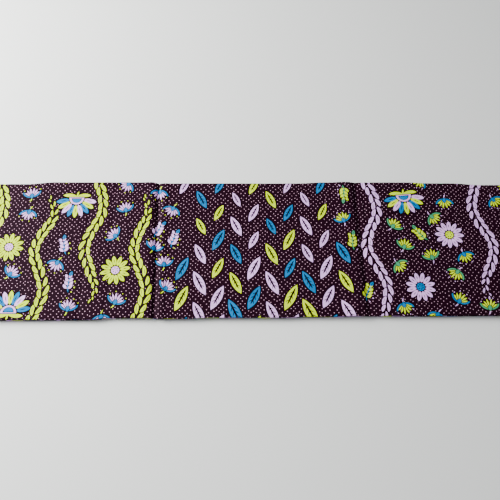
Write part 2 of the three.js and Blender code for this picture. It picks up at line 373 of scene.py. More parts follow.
def sprig(petal, stem, accent, halo):
    """A curved stem with paired leaflets and a tip of another ink."""
    patches = inked(stem, halo, long=40, wide=3.4, angle=-24, at=(-24, 4), bend=48, steps=8, pointed=0.35)
    for place in range(4):
        u = -15 + 9 * place
        v = 1.2 - 0.012 * (u + 4) ** 2
        for side in (-1, 1):
            patches += inked(
                petal, halo, long=14.5 - 1.5 * place, wide=6.8, angle=52 * side, at=(u, v + side),
                bend=-16 * side, steps=5,
            )
    patches += inked(stem, halo, long=14, wide=8, angle=12, at=(14, 1.5), layer=OVER_LAYER, steps=6)
    patches += drawn(long=8, wide=1.2, angle=12, at=(17, 2.2))
    for at in ((-22, 11), (-11, 16), (3, 15)):
        patches += seed(accent, 1, radius=1.7, at=at)
    return patches


def rosette(petal, accent, halo):
    """A daisy with a dotted eye."""
    patches = []
    for turn in range(0, 360, 30):
        patches += inked(petal, halo, long=22, wide=9, angle=turn, at=toward(turn, 9.5), pointed=0.55)
        patches += drawn(long=9, wide=1.5, angle=turn, at=toward(turn, 16))
    for layer, ink, radius in ((OVER_LAYER, LINE, 10.5), (OVER_LAYER + 0.1, accent, 8.6)):
        patches += [Patch(layer, ink, disc(radius, sides=16))]
    for turn in range(0, 360, 60):
        patches += [Patch(DETAIL_LAYER, LINE, moved(disc(1.3, sides=6), 0, toward(turn, 5)))]
    return patches


def palmette(inks, halo):
    """Half a flower: petals of several inks fanned over a round base, with two sepals below."""
    patches = []
    for k, turn in enumerate(range(-80, 81, 20)):
        patches += inked(
            inks[k % len(inks)], halo, long=30, wide=10.5, angle=turn, at=toward(turn, 15), pointed=0.6
        )
        patches += drawn(long=14, wide=1.6, angle=turn, at=toward(turn, 22))
    for side in (-1, 1):
        patches += inked(
            LIME, halo, long=31, wide=8.5, angle=106 * side, at=(-5, 0), bend=-22 * side, pointed=0.7
        )
    patches += inked(LIME, halo, long=15, wide=3.4, angle=180, at=(-3, 0), bend=24, steps=4, pointed=0.4)
    half = np.radians(np.linspace(-90, 90, 13))
    for k, (radius, ink) in enumerate(((19, LINE), (16.4, LAVENDER), (11.5, LINE), (9.5, BLUE))):
        arc = radius * np.stack([np.cos(half), np.sin(half)], 1) - (4.4 - 1.6 * k, 0)
        patches.append(Patch(OVER_LAYER, ink, arc))
    return patches


def smooth_path(points, step):
    """A smooth line through points, as its places and headings in degrees at even steps."""
    points = np.array(points, float)
    ends = np.concatenate([[2 * points[0] - points[1]], points, [2 * points[-1] - points[-2]]])
    fine = []
    for a, b, c, d in zip(ends, ends[1:], ends[2:], ends[3:]):
        t = np.linspace(0, 1, 24, endpoint=False)[:, None]
        fine.append(0.5 * (2 * b + (c - a) * t + (2 * a - 5 * b + 4 * c - d) * t**2
                           + (3 * b - a - 3 * c + d) * t**3))
    fine = np.concatenate([*fine, points[-1:]])
    run = np.concatenate([[0], np.cumsum(np.linalg.norm(np.diff(fine, axis=0), axis=1))])
    stops = np.arange(0, run[-1], step)
    places = np.stack([np.interp(stops, run, fine[:, k]) for k in (0, 1)], 1)
    slopes = np.gradient(places, axis=0)
    return places, np.degrees(np.arctan2(slopes[:, 1], slopes[:, 0]))


GARLAND = {"pair": 19, "leaf": 25, "short_leaf": 21, "wide": 8, "spread": 33, "bend": 38, "room": 15}
GARLAND_TIP = 0.36  # size of the leaves at the tip
GARLAND_GROWTH = 0.15  # and how much larger each pair before it is


def garland(ink, points, halo):
    """A trailing stem with a pair of leaves every few steps, smaller towards the tip."""
    places, headings = smooth_path(points, GARLAND["pair"])
    patches = []
    prints = []
    for k, (at, heading) in enumerate(zip(places, headings)):
        before_tip = len(places) - 1 - k
        size = min(1, GARLAND_TIP + GARLAND_GROWTH * before_tip)
        for side in (-1, 1):
            turn = heading + GARLAND["spread"] * side
            root = toward(heading, 3 * (side + 1), toward(heading + 90, 2.2 * size * side, at))
            long = size * GARLAND["leaf" if (k + side) % 3 else "short_leaf"]
            patches += inked(
                ink, halo * 0.8, long=long, wide=GARLAND["wide"] * size, angle=turn, at=root,
                bend=-GARLAND["bend"] * side, cuts=True, pointed=0.66,
            )
            patches += drawn(
                long=long * 0.56, wide=1.1 * size, angle=turn - 8 * side, at=toward(turn, 5 * size, root),
                bend=-18 * side,
            )
        prints.append(Footprint(*at, GARLAND["room"] * max(0.5, min(1, (before_tip + 1) / 5))))
    return patches, prints


# -------------------- the print's layout
# u runs from the left selvedge's side, as x does, and v from the back edge to the front one.

GARLANDS = (
    {"ink": LIME, "points": ((-584, -30), (-556, 60), (-586, 150), (-554, 240), (-580, 335))},
    {"ink": LIME, "points": ((-470, 335), (-446, 250), (-474, 160), (-446, 84), (-458, 40))},
    {"ink": LIME, "points": ((-366, -30), (-340, 60), (-368, 150), (-338, 240), (-352, 270))},
    {"ink": LIME, "points": ((-262, 335), (-236, 250), (-262, 160), (-238, 76), (-250, 30))},
    {"ink": LAVENDER, "points": ((236, -30), (264, 60), (236, 150), (266, 240), (244, 335))},
    {"ink": LAVENDER, "points": ((500, -30), (474, 60), (502, 150), (472, 240), (484, 266))},
)

ROSETTES = (
    {"petal": LIME, "eye": LAVENDER, "at": (-530, 150), "turn": 8},
    {"petal": LIME, "eye": LAVENDER, "at": (-300, 205), "turn": 20},
    {"petal": LAVENDER, "eye": LIME, "at": (414, 126), "turn": 4},
    {"petal": LAVENDER, "eye": BLUE, "at": (338, 244), "turn": 15},
    {"petal": LAVENDER, "eye": LIME, "at": (564, 84), "turn": 24},
)

PALMETTES = (
    {"at": (-400, 40), "turn": 90},
    {"at": (-508, 290), "turn": -90},
    {"at": (326, 34), "turn": 84},
    {"at": (560, 270), "turn": -96},
)

LEAF_BAND = {
    "start": (-160, 8), "columns": range(-1, 11), "column": 38, "rows": range(-1, 6), "row": 64,
    "long": 50, "lean": 27, "clear": 12, "room": 10,
}
BAND_SIDES = (
    {"at": -174, "waver": 24, "over": 61, "from": 0},
    {"at": 192, "waver": -26, "over": 72, "from": 1},
)
ROSETTE_ROOM = 34
PALMETTE_ROOM = 42
PALMETTE_MIDDLE = 14  # from the middle of the flower's base to the middle of its room
LEAF_INKS = (LAVENDER, LIME, LAVENDER, BLUE, LAVENDER, LIME, BLUE)
TOSSED = {
    "tries": 6000, "beyond": 20, "lean": 50, "upside_down": 0.45, "sprigs": 0.14, "green": 0.5,
    "reach": 10.5, "radius": 14.5, "size": 0.88,
}
INKS_CHANGE = 10  # the place along the strip where the tossed flowers change their inks


def placed(motif, turn, at, size=1):
    return [patch._replace(outline=moved(patch.outline, turn, at, size)) for patch in motif]


def leaf_band(taken, halo):
    """Leaves in herringbone rows across the middle, larger towards the front edge. The band's two
    sides waver, and leaves that would touch another motif are left out."""
    patches = []
    prints = []
    for i in LEAF_BAND["columns"]:
        for j in LEAF_BAND["rows"]:
            u = LEAF_BAND["start"][0] + i * LEAF_BAND["column"]
            v = LEAF_BAND["start"][1] + (j + 0.5 * (i % 2)) * LEAF_BAND["row"]
            left, right = (s["at"] + s["waver"] * math.sin(v / s["over"] + s["from"]) for s in BAND_SIDES)
            clear = min(math.hypot(t.u - u, t.v - v) - t.radius for t in taken)
            if not left < u < right or clear <= LEAF_BAND["clear"]:
                continue
            ink = LEAF_INKS[(3 * i + 2 * j) % len(LEAF_INKS)]
            long = LEAF_BAND["long"] * (0.8 + 0.4 * v / FOLD_DEPTH + 0.1 * math.sin(1.7 * i + 2.3 * j))
            turn = 90 + LEAF_BAND["lean"] * (-1) ** i
            patches += placed(leaf(ink, halo, long), turn, (u, v))
            spots = [toward(turn, step * 0.3 * long, (u, v)) for step in (-1, 0, 1)]
            prints += [Footprint(*spot, LEAF_BAND["room"]) for spot in spots]
    return patches, prints


def clearance(spots, prints):
    """How far the nearest of each flower's spots stays off the nearest print."""
    prints = np.array(prints)
    away = spots[:, :, None] - prints[:, :2]
    return (np.hypot(away[..., 0], away[..., 1]) - prints[:, 2]).min((1, 2))


def tossed(taken, halo, dice):
    """Flowers and sprigs at all angles, spread evenly: out of many places, each takes the roomiest."""
    reach, radius, beyond, lean = (TOSSED[name] for name in ("reach", "radius", "beyond", "lean"))
    places = []
    for _ in range(TOSSED["tries"]):
        u = dice.uniform(-HALF_WIDTH - beyond, HALF_WIDTH + beyond)
        v = dice.uniform(-beyond, FLAT_LENGTH + beyond)
        turn = 90 + dice.uniform(-lean, lean) + 180 * (dice.random() < TOSSED["upside_down"])
        kind = sprig if dice.random() < TOSSED["sprigs"] else fan_flower
        places.append(((u, v), turn, kind))
    spots = np.array([
        [toward(turn if kind is sprig else turn + 90, step * reach, at) for step in (-1, 0, 1)]
        for at, turn, kind in places
    ])
    room = clearance(spots, taken)
    patches = []
    while room.max() >= radius:
        k = room.argmax()
        at, turn, kind = places[k]
        accent = GREEN if dice.random() < TOSSED["green"] else BLUE
        inks = (LAVENDER, BLUE, LIME) if at[0] < INKS_CHANGE else (LIME, accent, LAVENDER)
        patches += placed(kind(*inks, halo), turn, at, TOSSED["size"])
        room = np.minimum(room, clearance(spots, [(a, b, radius) for a, b in spots[k]]))
    return patches


def design(halo, chosen_seed):
    """All the patches of one ply, in the order in which they are printed."""
    patches = []
    taken = []
    for row in GARLANDS:
        more, prints = garland(row["ink"], row["points"], halo)
        patches += more
        taken += prints
    for row in ROSETTES:
        patches += placed(rosette(row["petal"], row["eye"], halo), row["turn"], row["at"])
        taken.append(Footprint(*row["at"], ROSETTE_ROOM))
    for row in PALMETTES:
        patches += placed(palmette((LAVENDER, LIME, BLUE), halo), row["turn"], row["at"])
        taken.append(Footprint(*toward(row["turn"], PALMETTE_MIDDLE, row["at"]), PALMETTE_ROOM))
    more, prints = leaf_band(taken, halo)
    patches += more
    taken += prints
    patches += tossed(taken, halo, random.Random(chosen_seed))
    return sorted(patches, key=lambda p: p.layer)


# -------------------- cloth as meshes

def rectangle(left, right, back, front):
    return np.array([(left, back), (right, back), (right, front), (left, front)], float)


def anticlockwise(outline):
    """The outline in the direction in which the triangulation takes its inside."""
    u, v = np.asarray(outline, float).T
    return outline if np.dot(u, np.roll(v, -1)) > np.dot(v, np.roll(u, -1)) else outline[::-1]


BAKE_STRIPS = 4  # the long strip is cut in four for its texture map, two above two
STRIP_CUTS = np.linspace(-HALF_WIDTH, HALF_WIDTH, BAKE_STRIPS + 1)
SELVEDGE_LINES = (SELVEDGE_WIDTH - HALF_WIDTH, HALF_WIDTH - SELVEDGE_WIDTH)
TURN_ROWS = FOLD_DEPTH + math.pi * FOLD_RADIUS * np.linspace(0, 1, 9)
CREASE_GRID = 0.5  # closer mesh points across each groove, as a share of its reach
WELD = 1e-4

Ply = namedtuple("Ply", "flat corners inks")


def triangulated(points, edges, faces):
    """The triangles inside the first face that follow all edges and faces, with the last face that
    each triangle lies in, and the place that each given point has among the points made."""
    flat = [Vector((float(a), float(b))) for a, b in points]
    made, _, corners, sources, _, origins = delaunay_2d_cdt(flat, edges, faces, 0, WELD)
    kept = [k for k, origin in enumerate(origins) if 0 in origin]
    used, corners = np.unique(np.array([corners[k] for k in kept]), return_inverse=True)
    places = {given: k for k, place in enumerate(used) for given in sources[place]}
    flat = np.array([tuple(made[k]) for k in used])
    return flat, corners.reshape(-1, 3), [max(origins[k]) for k in kept], places


def printed_ply(patches, spacing):
    """The flat ply's printed face, in triangles that follow every outline of the print."""
    sheet = rectangle(-HALF_WIDTH, HALF_WIDTH, 0, FLAT_LENGTH)
    bands = [rectangle(math.copysign(HALF_WIDTH, x), x, 0, FLAT_LENGTH) for x in SELVEDGE_LINES]
    outlines = [anticlockwise(o) for o in [sheet, *(p.outline for p in patches), *bands]]
    inks = np.array([GROUND] + [p.ink for p in patches] + [SELVEDGE] * len(bands))
    points = [p for outline in outlines for p in outline]
    ends = np.cumsum([len(outline) for outline in outlines])
    faces = [list(range(end - len(outline), end)) for outline, end in zip(outlines, ends)]

    lines = [((x, 0), (x, FLAT_LENGTH)) for x in STRIP_CUTS[1:-1]]
    lines += [((-HALF_WIDTH, v), (HALF_WIDTH, v)) for v in TURN_ROWS]
    edges = [(len(points) + 2 * k, len(points) + 2 * k + 1) for k in range(len(lines))]
    points += [end for line in lines for end in line]

    flat, corners, tops, _ = triangulated(points + grid_points(spacing), edges, faces)
    return Ply(flat, corners, inks[tops])


def grid_points(spacing):
    """Points in rows and columns all over the ply and its rim, closer across the grooves and round
    the turn."""
    xs = np.arange(-HALF_WIDTH + spacing, HALF_WIDTH - 1, spacing)
    steps = CREASE_GRID * np.arange(-4, 5)
    near_grooves = [g["x"] + g["reach"] * steps for g in GROOVES]
    xs = np.unique(np.concatenate([xs, STRIP_CUTS, SELVEDGE_LINES, *near_grooves]))
    vs = np.concatenate([np.arange(0, FOLD_DEPTH - 2, spacing), TURN_ROWS, [FLAT_LENGTH]])
    return [(x, v) for x in xs for v in vs]


def plain_ply(rim, spacing):
    """The ply's other face, which lies against the stack, from the same rim and the grid alone."""
    points = list(map(tuple, rim)) + grid_points(spacing)
    flat, corners, _, places = triangulated(points, [], [list(range(len(rim)))])
    return Ply(flat, corners, np.full(len(corners), LINE)), [places[k] for k in range(len(rim))]


def rim_of(corners, inks):
    """The points round a sheet of triangles in order, with the ink beside each stretch of the rim."""
    edges = np.concatenate([corners[:, [0, 1]], corners[:, [1, 2]], corners[:, [2, 0]]])
    owner = np.tile(inks, 3)
    _, index, counts = np.unique(np.sort(edges, 1), axis=0, return_index=True, return_counts=True)
    following = {edges[k][0]: (edges[k][1], owner[k]) for k in index[counts == 1]}
    ring, beside = [min(following)], []
    while len(ring) <= len(following):
        point, ink = following[ring[-1]]
        ring.append(point)
        beside.append(ink)
    return ring[:-1], beside


def shell_mesh(name, printed, spacing, place, thickness, faces_up):
    """A closed shell of cloth, printed on its outer face, that is laid by place."""
    ring, beside = rim_of(printed.corners, printed.inks)
    plain, plain_ring = plain_ply(printed.flat[ring], spacing)
    count = len(printed.flat)
    points = np.concatenate([place(*printed.flat.T, 0), place(*plain.flat.T, thickness)])
    inner_ring = [count + k for k in plain_ring]
    rim = [(ring[k], inner_ring[k], inner_ring[k - 1], ring[k - 1]) for k in range(len(ring))]
    faces = printed.corners.tolist() + (plain.corners[:, ::-1] + count).tolist() + rim
    if faces_up:
        faces = [face[::-1] for face in faces]
    mesh = bpy.data.meshes.new(name)
    mesh.from_pydata(points.tolist(), [], faces)
    mark_inks(mesh, np.concatenate([printed.inks, plain.inks, np.roll(beside, 1)]))
    flat = np.concatenate([printed.flat, plain.flat])
    set_map(mesh, "cloth", flat[corner_points(mesh)] * MM)
    inner_faces = np.zeros(len(faces), bool)
    inner_faces[len(printed.corners):-len(rim)] = True
    add_bake_map(mesh, flat, inner_faces)
    mesh.shade_smooth()
    sharpen(mesh, {frozenset(pair) for loop in (ring, inner_ring) for pair in zip(loop, loop[1:] + loop[:1])})
    mesh.validate()
    return mesh


def mark_inks(mesh, inks):
    """Stores each face's ink as the middle of its step on a ramp from 0 to 1."""
    attribute = mesh.attributes.new("ink", "FLOAT", "FACE")
    attribute.data.foreach_set("value", (np.asarray(inks) + 0.5) / len(INKS))


def corner_points(mesh):
    index = np.zeros(len(mesh.loops), np.int32)
    mesh.loops.foreach_get("vertex_index", index)
    return index


def set_map(mesh, name, places):
    layer = mesh.uv_layers.new(name=name)
    layer.data.foreach_set("uv", np.asarray(places, np.float32).ravel())


MAP_MARGIN = 3
INNER_STRIP = 8  # width in the texture map of the hidden face, which is plain


def add_bake_map(mesh, flat, inner):
    """A square for the ply's texture: the printed face in four strips, so that it stays sharp, and the
    plain inner face squeezed into a narrow one beside them."""
    index = corner_points(mesh)
    starts = np.zeros(len(mesh.polygons), np.int32)
    totals = np.zeros(len(mesh.polygons), np.int32)
    mesh.polygons.foreach_get("loop_start", starts)
    mesh.polygons.foreach_get("loop_total", totals)
    middles = np.add.reduceat(flat[index, 0], starts) / totals
    strip_width = CLOTH_WIDTH / BAKE_STRIPS
    strip = np.clip((middles + HALF_WIDTH) // strip_width, 0, BAKE_STRIPS - 1).astype(int)
    strip = np.repeat(strip, totals)
    cell = np.array([strip_width + 2 * MAP_MARGIN, FLAT_LENGTH + MAP_MARGIN])
    side = max(2 * cell[0] + MAP_MARGIN + INNER_STRIP, 2 * cell[1] + MAP_MARGIN)
    corner = cell * np.stack([strip % 2, strip // 2], 1) + MAP_MARGIN
    places = corner + flat[index] + np.stack([HALF_WIDTH - strip * strip_width, 0 * strip], 1)
    across = 2 * cell[0] + INNER_STRIP * flat[index, 1] / FLAT_LENGTH
    up = MAP_MARGIN + (side - 2 * MAP_MARGIN) * (flat[index, 0] / CLOTH_WIDTH + 0.5)
    hidden = np.repeat(inner, totals)
    places[hidden] = np.stack([across, up], 1)[hidden]
    set_map(mesh, "OFBake", places / side)


def sharpen(mesh, edges):
    attribute = mesh.attributes.new("sharp_edge", "BOOLEAN", "EDGE")
    marks = [frozenset(e.vertices) in edges for e in mesh.edges]
    attribute.data.foreach_set("value", marks)


def add_piece(name, mesh, material, node):
    piece = bpy.data.objects.new(name, mesh)
    bpy.context.scene.collection.objects.link(piece)
    mesh.materials.append(material)
    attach(piece, "root")
    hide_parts(node)
    return piece


# -------------------- the folded plies between
# One solid whose sides are cut into plies: folds of two plies at the front and back, and single
# selvedges at both ends. Plies are counted from the top, and the top and bottom ones are other pieces.

RINGS_PER_PLY = (0.02, 0.15, 0.38, 0.62, 0.85, 0.98)
FOLD_MOUTH = 2.6  # depth of the dark gap between two folds
MOUTH_FROM = 0.9  # share of a fold's half height beyond which it belongs to the gap
PLY_MOUTH = 1.3  # depth of the gap between two selvedges
PLY_GAP = 0.05  # between the stack and the plies above and below it
TUCK_GAP = 2  # between what is tucked in at the front and the stack
STATION_STEP = 8
END_ROWS = 22
END_ROW_STEP = 14
# How far each fold or ply keeps back from the outline, in turn down the stack.
FRONT_STAGGER = (1.1, 0.3, 1.4, 0.6, 0.9, 0.2, 1.2)
BACK_STAGGER = (1.6, 2.6, 1.2, 2.8, 1, 2.2, 1.4, 2.4)
END_STAGGER = (2.2, 2.6, 3.6, 3.3, 1.4, 1.7, 4.2, 3.8, 2.4, 2.7, 3.2, 3.5, 1.8, 1.5, 3, 2.7)
FRONT_SWING = (-0.9, 1.1, 0.3, -1.2, 2.6, -0.5, 0.7)
# Each side's edges waver in their own way: how much, over which lengths, and where in the noise.
WOBBLE = 0.5
WOBBLE_LONG = 90
WOBBLE_SHORT = 22
WOBBLE_ROWS = {"front": 0, "back": 20, "left": 40, "right": 80}


def wobble(side, row, place):
    row += WOBBLE_ROWS[side]
    slow = noise.noise((place / WOBBLE_LONG, 7.3 * row, 2.2))
    quick = noise.noise((place / WOBBLE_SHORT, row, 9))
    return WOBBLE * (slow + 0.3 * quick)


def fold_profile(rise):
    """How far a fold's nose falls back at a height of -1 to 1 times its half height."""
    return FOLD_RADIUS * (1 - math.sqrt(1 - rise * rise))


def end_setback(side, ply, level, place):
    """How far a selvedge keeps back at a level of its ply, from 0 at its foot to 1 at its top."""
    row = ply - 2
    stagger = END_STAGGER[row if side == "left" else -1 - row]
    mouth = PLY_MOUTH if level in (RINGS_PER_PLY[0], RINGS_PER_PLY[-1]) else 0
    return stagger + mouth + wobble(side, row, place)


def fold_setback(side, ply, level, place):
    """The same for a fold, which two plies share."""
    if side == "front" and ply in (2, PLIES - 1):
        return TUCKED + TUCK_GAP
    if side == "front":
        is_lower, fold = ply % 2 == 0, (ply - 3) // 2
        stagger = FRONT_STAGGER[fold] + FRONT_SWING[fold] * place / HALF_WIDTH
    else:
        is_lower, fold = ply % 2 == 1, (ply - 2) // 2
        stagger = BACK_STAGGER[fold]
    rise = level - 1 if is_lower else level
    mouth = FOLD_MOUTH if abs(rise) > MOUTH_FROM else 0
    return stagger + fold_profile(rise) + mouth + wobble(side, fold, place)


def stack_point(x, row, ply, level, thickness):
    """A point of the stack at a station along it and a row across it, on a level of a ply."""
    front, back = front_edge(x), back_edge(x)
    y = front + (back - front) * row / (END_ROWS - 1)
    if row == 0:
        y = front + fold_setback("front", ply, level, x)
    if row == END_ROWS - 1:
        y = back - fold_setback("back", ply, level, x)
    if abs(x) == HALF_WIDTH:
        side = "left" if x < 0 else "right"
        x -= math.copysign(end_setback(side, ply, level, row * END_ROW_STEP), x)
    room = top_height(x, y) + ripple(x, y) - 2 * (thickness + PLY_GAP)
    return x, y, thickness + PLY_GAP + room * (PLIES - 1 - ply + level) / (PLIES - 2)


def stack_mesh(name, thickness):
    """The rings of the stack from the bottom up, joined into a closed mesh by a grid at each end."""
    xs = np.linspace(-HALF_WIDTH, HALF_WIDTH, int(CLOTH_WIDTH / STATION_STEP) + 1)
    last, last_row = len(xs) - 1, END_ROWS - 1
    around = [(i, 0) for i in range(last)] + [(last, row) for row in range(last_row)]
    around += [(i, last_row) for i in range(last, 0, -1)] + [(0, row) for row in range(last_row, 0, -1)]
    levels = [(ply, level) for ply in range(PLIES - 1, 1, -1) for level in RINGS_PER_PLY]

    points = [stack_point(xs[i], row, *level, thickness) for level in levels for i, row in around]
    faces = []
    ring = len(around)
    for low in range(0, len(points) - ring, ring):
        for k in range(ring):
            following = (k + 1) % ring
            faces.append((low + k, low + following, low + ring + following, low + ring + k))
    for level, first, faces_up in ((levels[0], 0, False), (levels[-1], len(points) - ring, True)):
        index = {place: first + k for k, place in enumerate(around)}
        for i in range(1, last):
            for row in range(1, last_row):
                index[i, row] = len(points)
                points.append(stack_point(xs[i], row, *level, thickness))
        for i in range(last):
            for row in range(last_row):
                quad = (index[i, row], index[i + 1, row], index[i + 1, row + 1], index[i, row + 1])
                faces.append(quad if faces_up else quad[::-1])
    mesh = bpy.data.meshes.new(name)
    mesh.from_pydata(in_frame(*np.array(points).T).tolist(), [], faces)
    mesh.shade_smooth()
    mesh.validate()
    return mesh


# -------------------- materials

def add_node(tree, kind, sockets=None, **settings):
    """Adds a node with its settings. A socket's value is a number, a colour or another node's output."""
    node = tree.nodes.new(kind)
    for name, value in settings.items():
        setattr(node, name, value)
    for name, value in (sockets or {}).items():
        if isinstance(value, bpy.types.NodeSocket):
            tree.links.new(value, node.inputs[name])
        else:
            node.inputs[name].default_value = value
    return node


def new_material(name):
    material = bpy.data.materials.new(name)
    material.use_nodes = True
    material.node_tree.nodes.clear()
    return material, material.node_tree


def dotted_inks(tree, pick, starts, dot):
    """The ink that a number from 0 to 1 picks, by where each ink starts, with pin dots on the ground."""
    inks = bpy.context.scene.wax_print_inks
    ramp = add_node(tree, "ShaderNodeValToRGB", {"Fac": pick})
    ramp.color_ramp.interpolation = "CONSTANT"
    stops = ramp.color_ramp.elements
    stops.remove(stops[1])
    for name, start in starts.items():
        stop = stops.new(start) if start else stops[0]
        stop.color = (*getattr(inks, name), 1)
    ground_end = sorted(starts.values())[1]
    on_ground = add_node(tree, "ShaderNodeMath", {0: pick, 1: ground_end}, operation="LESS_THAN")
    dotted = add_node(tree, "ShaderNodeMath", {0: dot, 1: on_ground.outputs[0]}, operation="MULTIPLY")
    sockets = {"Factor": dotted.outputs[0], "A": ramp.outputs["Color"], "B": (*inks.dots, 1)}
    return add_node(tree, "ShaderNodeMix", sockets, data_type="RGBA").outputs["Result"]


# How the dye varies.
WANDERS_PER_METRE = 9  # the dots' rows sway about every 110 mm
WANDER = 12  # and by no more than this
DOT_DISORDER = 0.42
DOT_EDGE = 0.03  # half the width of a dot's soft edge, as a share of the pitch
CLOUDS_PER_METRE = 34  # darker and paler patches about 30 mm across
CLOUD_TONES = (0.86, 1.08)
CRACKLE = 21  # between the hair lines where the wax cracked and let dye through
HAIR_LINE = 0.03  # their width, as a share of that
HAIR_LINE_TONE = 0.72


def wax_printed_cotton():
    """Plain-woven cotton, wax-resist printed through and calendered: flat opaque inks with crisp
    borders, slightly uneven where the dye broke through the wax, and a faint gloss off the threads."""
    sizes = bpy.context.scene.wax_print_sizes
    material, tree = new_material("wax_printed_cotton")
    ink = add_node(tree, "ShaderNodeAttribute", attribute_name="ink").outputs["Fac"]
    place = add_node(tree, "ShaderNodeUVMap", uv_map="cloth").outputs["UV"]
    wander = add_node(
        tree, "ShaderNodeTexNoise", {"Vector": place, "Scale": WANDERS_PER_METRE, "Detail": 1}
    )
    drift = add_node(
        tree, "ShaderNodeVectorMath", {0: wander.outputs["Color"], 1: (WANDER * MM, WANDER * MM, 0)},
        operation="MULTIPLY",
    )
    spot = add_node(tree, "ShaderNodeVectorMath", {0: place, 1: drift.outputs[0]}, operation="ADD")
    staggered = add_node(
        tree, "ShaderNodeMapping", {"Vector": spot.outputs[0], "Rotation": (0, 0, math.radians(45))}
    )
    dots = add_node(
        tree, "ShaderNodeTexVoronoi",
        {"Vector": staggered.outputs[0], "Scale": 1 / sizes.dot_pitch, "Randomness": DOT_DISORDER},
        voronoi_dimensions="2D", feature="F1",
    )
    radius = sizes.dot_width / sizes.dot_pitch / 2
    dot = add_node(
        tree, "ShaderNodeMapRange",
        {"Value": dots.outputs["Distance"], "From Min": radius + DOT_EDGE, "From Max": radius - DOT_EDGE},
    )
    starts = {name: k / len(INKS) for k, name in enumerate(INKS)}
    colours = dotted_inks(tree, ink, starts, dot.outputs[0])

    cloud = add_node(
        tree, "ShaderNodeTexNoise",
        {"Vector": place, "Scale": CLOUDS_PER_METRE, "Detail": 4, "Roughness": 0.62},
    )
    strength = add_node(
        tree, "ShaderNodeMapRange",
        {"Value": cloud.outputs["Fac"], "From Min": 0.3, "From Max": 0.7,
         "To Min": CLOUD_TONES[0], "To Max": CLOUD_TONES[1]},
    )
    cracks = add_node(
        tree, "ShaderNodeTexVoronoi", {"Vector": spot.outputs[0], "Scale": 1 / (CRACKLE * MM)},
        voronoi_dimensions="2D", feature="DISTANCE_TO_EDGE",
    )
    crack = add_node(
        tree, "ShaderNodeMapRange",
        {"Value": cracks.outputs["Distance"], "From Max": HAIR_LINE, "To Min": HAIR_LINE_TONE},
    )
    evenness = add_node(
        tree, "ShaderNodeMath", {0: strength.outputs[0], 1: crack.outputs[0]}, operation="MULTIPLY"
    )
    shade = add_node(
        tree, "ShaderNodeMix", {"Factor": 1.0, "A": colours, "B": evenness.outputs[0]},
        data_type="RGBA", blend_type="MULTIPLY",
    )
    finish_cotton(tree, shade.outputs["Result"], woven_bump(tree, place, sizes.thread), 0.58)
    return material


WAVE_TEXTURE_STEP = math.pi / 10  # metres between two bands of a wave texture at a scale of 1
THREAD_RELIEF = 0.1


def woven_bump(tree, place, thread):
    """Warp and weft as two sets of fine ridges, drawn at twice the real spacing so that they show."""
    ridges = [
        add_node(
            tree, "ShaderNodeTexWave",
            {"Vector": place, "Scale": WAVE_TEXTURE_STEP / thread, "Distortion": 0.6},
            bands_direction=way,
        ).outputs["Fac"]
        for way in ("X", "Y")
    ]
    weave = add_node(tree, "ShaderNodeMath", {0: ridges[0], 1: ridges[1]}, operation="MULTIPLY")
    sockets = {"Height": weave.outputs[0], "Strength": 0.25, "Distance": THREAD_RELIEF * MM}
    return add_node(tree, "ShaderNodeBump", sockets).outputs["Normal"]


def finish_cotton(tree, base, normal, roughness):
    shader = add_node(
        tree, "ShaderNodeBsdfPrincipled",
        {"Base Color": base, "Normal": normal, "Roughness": roughness, "Specular IOR Level": 0.02},
    )
    add_node(tree, "ShaderNodeOutputMaterial", {"Surface": shader.outputs["BSDF"]})


# The print seen edge on: where each ink starts, out of 1, and how long a stretch of one ink shows.
EDGE_INKS = {"ground": 0, "lime": 0.66, "lavender": 0.76, "blue": 0.88, "selvedge": 0.95}
STRETCHES_PER_METRE = 52
STRETCH_PLIES = 2
EDGE_DOT_PLIES = 1.6
EDGE_DOT_RADIUS = 0.24


def folded_cotton():
    """The same cotton seen edge on, where folds and selvedges show short stretches of the print."""
    sizes = bpy.context.scene.wax_print_sizes
    material, tree = new_material("folded_printed_cotton")
    place = add_node(tree, "ShaderNodeTexCoord").outputs["Object"]
    plies = 1 / (PLY_LOFT * MM)
    long, high = STRETCHES_PER_METRE, plies / STRETCH_PLIES
    stretch = add_node(tree, "ShaderNodeMapping", {"Vector": place, "Scale": (long, long, high)})
    patch = add_node(tree, "ShaderNodeTexVoronoi", {"Vector": stretch.outputs[0], "Scale": 1.0})
    pick = add_node(tree, "ShaderNodeSeparateColor", {"Color": patch.outputs["Color"]}).outputs["Red"]

    pitch, high = 1 / sizes.dot_pitch, plies / EDGE_DOT_PLIES
    crowd = add_node(tree, "ShaderNodeMapping", {"Vector": place, "Scale": (pitch, pitch, high)})
    dots = add_node(tree, "ShaderNodeTexVoronoi", {"Vector": crowd.outputs[0], "Scale": 1.0})
    dot = add_node(
        tree, "ShaderNodeMath", {0: dots.outputs["Distance"], 1: EDGE_DOT_RADIUS}, operation="LESS_THAN"
    )
    colours = dotted_inks(tree, pick, EDGE_INKS, dot.outputs[0])
    finish_cotton(tree, colours, woven_bump(tree, place, sizes.thread), 0.66)
    return material


def matt_floor():
    """A matt pale surface with no pattern of its own."""
    look = bpy.context.scene.stage_look
    material, tree = new_material("matt_pale_floor")
    shader = add_node(
        tree, "ShaderNodeBsdfPrincipled",
        {"Base Color": (*look.floor, 1), "Roughness": 0.9, "Specular IOR Level": 0.2},
    )
    add_node(tree, "ShaderNodeOutputMaterial", {"Surface": shader.outputs["BSDF"]})
    return material


# -------------------- operators

def add_outer_ply(name, patches, place, faces_up, node):
    """A ply that is printed with patches and laid by place, of the cotton that both outer plies share."""
    sizes = bpy.context.scene.wax_print_sizes
    grid, thickness = sizes.grid / MM, sizes.cloth / MM
    mesh = shell_mesh(name, printed_ply(patches, grid), grid, place, thickness, faces_up)
    material = bpy.data.materials.get("wax_printed_cotton") or wax_printed_cotton()
    return add_piece(name, mesh, material, node)


